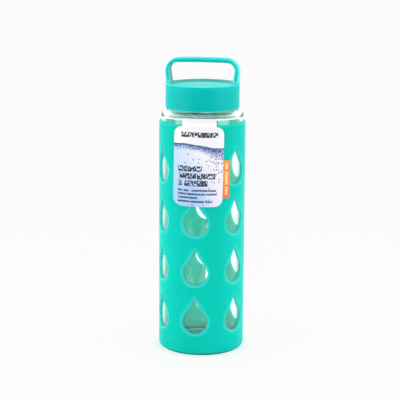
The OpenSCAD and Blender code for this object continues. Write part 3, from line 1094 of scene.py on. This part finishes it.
def softbox(name, azimuth, height, distance, width, tall, power):
    """A rectangular soft lamp aimed at the bottle, and not itself in the picture."""
    data = bpy.data.lights.new(name, "AREA")
    data.shape = "RECTANGLE"
    data.size, data.size_y = width, tall
    data.energy = power
    obj = bpy.data.objects.new(name, data)
    a = math.radians(azimuth)
    obj.location = (distance * math.sin(a), -distance * math.cos(a), height)
    aim = Vector((0, 0, AIM_Z)) - obj.location
    obj.rotation_mode = "QUATERNION"
    obj.rotation_quaternion = aim.to_track_quat("-Z", "Y")
    obj.visible_camera = False
    bpy.context.scene.collection.objects.link(obj)


def white_room():
    """A white room, darker in front of the bottle for what its surfaces mirror and gather."""
    world = bpy.data.worlds.new("white_room")
    world.use_nodes = True
    tree = world.node_tree
    tree.nodes.clear()
    new, join = tree.nodes.new, tree.links.new
    direction = new("ShaderNodeSeparateXYZ")
    join(new("ShaderNodeTexCoord").outputs["Generated"], direction.inputs[0])
    falloff = new("ShaderNodeMapRange")
    falloff.interpolation_type = "SMOOTHSTEP"
    falloff.inputs["From Min"].default_value = ROOM_DIM_TO
    falloff.inputs["From Max"].default_value = ROOM_DIM_FROM
    falloff.inputs["To Min"].default_value = ROOM_DIM
    falloff.inputs["To Max"].default_value = 1.0
    join(direction.outputs["Y"], falloff.inputs["Value"])
    room = new("ShaderNodeBackground")
    room.inputs["Color"].default_value = WHITE
    join(falloff.outputs[0], room.inputs["Strength"])
    path = new("ShaderNodeLightPath")
    surface = room.outputs[0]
    kinds = (("Is Camera Ray", SEEN_DIRECTLY), ("Is Transmission Ray", SEEN_THROUGH_GLASS))
    for kind, strength in kinds:
        seen = new("ShaderNodeBackground")
        seen.inputs["Color"].default_value = WHITE
        seen.inputs["Strength"].default_value = strength
        mix = new("ShaderNodeMixShader")
        join(path.outputs[kind], mix.inputs[0])
        join(surface, mix.inputs[1])
        join(seen.outputs[0], mix.inputs[2])
        surface = mix.outputs[0]
    join(surface, new("ShaderNodeOutputWorld").inputs["Surface"])
    bpy.context.scene.world = world


def floor():
    """A pale floor. The light it throws back fades in front of the bottle and right under it, and round
    the foot it has a painted teal bounce light, the sleeve's colour as if thrown onto it. What the
    bottle mirrors of it has one bright strip, for a long thin glint on the glass."""
    paint = Paint("studio_floor")
    point = paint.object_point()
    grain = paint.noise(point, 3.0, 3.0)
    split = paint.add("ShaderNodeSeparateXYZ", Vector=point)
    from_axis = paint.add("ShaderNodeVectorMath", {"operation": "LENGTH"}, Vector=point).outputs["Value"]
    lit = paint.rise(split.outputs[1], SHADED_TO, SHADED_FROM, SHADED, 1.0)
    foot_r = SLEEVE_R * MM
    open_floor = paint.rise(from_axis, 0.9 * foot_r, 1.15 * foot_r, UNDER_BOTTLE, 1.0)
    # Painted bounce light: a teal tint on the floor round the sleeve's foot
    painted_bounce = paint.mix(paint.rise(from_axis, foot_r, 1.17 * foot_r), PAINTED_FOOT_BOUNCE, WHITE)
    seen = paint.principled(
        Base_Color=paint.mix(grain, grey(0.07), grey(0.08)), Roughness=0.9, Specular_IOR_Level=0.0,
        Emission_Strength=paint.rise(from_axis, FLOOR_NEAR, FLOOR_FAR, FLOOR_GLOW_NEAR, FLOOR_GLOW_FAR),
        Emission_Color=painted_bounce,
    )
    bounce = paint.mix(grain, grey(0.88), grey(0.92))
    lighting = paint.principled(
        Base_Color=paint.mix(paint.product(lit, open_floor), grey(0.0), bounce), Roughness=0.9,
        Specular_IOR_Level=0.0,
    )
    turn = math.radians(GLINT_TURN)
    dot = {"operation": "DOT_PRODUCT"}
    out = paint.add("ShaderNodeVectorMath", dot, Vector=point).outputs["Value"]
    out.node.inputs[1].default_value = (math.sin(turn), -math.cos(turn), 0)
    aside = paint.add("ShaderNodeVectorMath", dot, Vector=point).outputs["Value"]
    aside.node.inputs[1].default_value = (math.cos(turn), math.sin(turn), 0)
    along = paint.within(out, GLINT_FROM, GLINT_TO, GLINT_END_SOFTNESS)
    across = paint.within(aside, -GLINT_W / 2, GLINT_W / 2, GLINT_SIDE_SOFTNESS)
    glint = paint.product(along, across)
    mirrored_floor = paint.product(lit, FLOOR_MIRRORED)
    strength = paint.math("MULTIPLY_ADD", glint, GLINT_STRENGTH, mirrored_floor)
    mirrored = paint.add("ShaderNodeEmission", Strength=strength).outputs[0]
    through = paint.add("ShaderNodeEmission", Strength=SEEN_THROUGH_GLASS).outputs[0]
    path = paint.add("ShaderNodeLightPath")
    surface = seen
    kinds = (("Is Diffuse Ray", lighting), ("Is Glossy Ray", mirrored), ("Is Transmission Ray", through))
    for kind, shader in kinds:
        mix = paint.add("ShaderNodeMixShader", Fac=path.outputs[kind])
        paint.feed(mix.inputs[1], surface)
        paint.feed(mix.inputs[2], shader)
        surface = mix.outputs[0]
    material = paint.done(surface)
    bm = bmesh.new()
    bmesh.ops.create_grid(bm, x_segments=8, y_segments=8, size=FLOOR_SIZE)
    obj = finish_mesh("studio_floor", bm, material)
    obj.location.z = FLOOR_Z


# ---------------------------------------------------------------- the bottle in its studio

TEAL_LIGHT = (0.0, 0.61, 0.485, 1.0)
TEAL_DEEP = (0.0, 0.57, 0.455, 1.0)
# The sleeve's painted highlight colour, and below it the painted shade colour of its heel
TEAL_HIGHLIGHT = (0.10, 0.78, 0.66, 1.0)
TEAL_PAINTED_SHADE = (0.0, 0.16, 0.13, 1.0)
CAP_LIGHT = (0.0, 0.60, 0.56, 1.0)
CAP_DEEP = (0.0, 0.57, 0.53, 1.0)
# The cap's painted highlight colour, and below it its painted shade colour
CAP_HIGHLIGHT = (0.20, 0.88, 0.86, 1.0)
CAP_PAINTED_SHADE = (0.21, 0.37, 0.34, 1.0)
LINER_LIGHT = rgb(236, 240, 240)
LINER_DEEP = rgb(222, 228, 228)
SEAL_LIGHT = rgb(244, 246, 242)
SEAL_DEEP = rgb(230, 233, 228)

silicone = soft_moulded(
    "sleeve_silicone", TEAL_LIGHT, TEAL_DEEP, roughness=0.55, grain=1500.0, grain_depth=0.00004,
    painted_highlight=TEAL_HIGHLIGHT, shade=TEAL_PAINTED_SHADE,
    Subsurface_Weight=1.0, Subsurface_Radius=(0.25, 1.0, 0.85), Subsurface_Scale=0.010,
    Specular_IOR_Level=0.06, Sheen_Weight=0.25, Sheen_Roughness=0.28,
)
plastic = soft_moulded(
    "cap_plastic", CAP_LIGHT, CAP_DEEP, roughness=0.42, grain=2200.0, grain_depth=0.00003,
    painted_highlight=CAP_HIGHLIGHT, shade=CAP_PAINTED_SHADE,
    Subsurface_Weight=1.0, Subsurface_Radius=(0.2, 1.0, 0.9), Subsurface_Scale=0.004,
    Specular_IOR_Level=0.1, Sheen_Weight=0.1, Sheen_Roughness=0.28,
)
liner_plastic = soft_moulded(
    "liner_plastic", LINER_LIGHT, LINER_DEEP, roughness=0.4, grain=2200.0, grain_depth=0.00003,
)
seal_silicone = soft_moulded(
    "seal_silicone", SEAL_LIGHT, SEAL_DEEP, roughness=0.5, grain=1500.0, grain_depth=0.00003,
)

glass_bottle()
silicone_sleeve(silicone)
labels()
cap_shell(plastic)
thread_liner(liner_plastic)
seal_ring(seal_silicone)

floor()
white_room()
softbox("left_softbox", azimuth=-62, height=0.08, distance=1.1, width=0.7, tall=0.7, power=4.7)
softbox("right_softbox", azimuth=62, height=0.08, distance=1.1, width=0.7, tall=0.7, power=4.6)
softbox("front_softbox", azimuth=-8, height=0.95, distance=1.2, width=0.6, tall=0.6, power=3.6)
softbox("top_softbox", azimuth=0, height=1.3, distance=0.05, width=0.8, tall=0.8, power=5.0)
camera()
bpy.context.scene.view_settings.view_transform = "Standard"
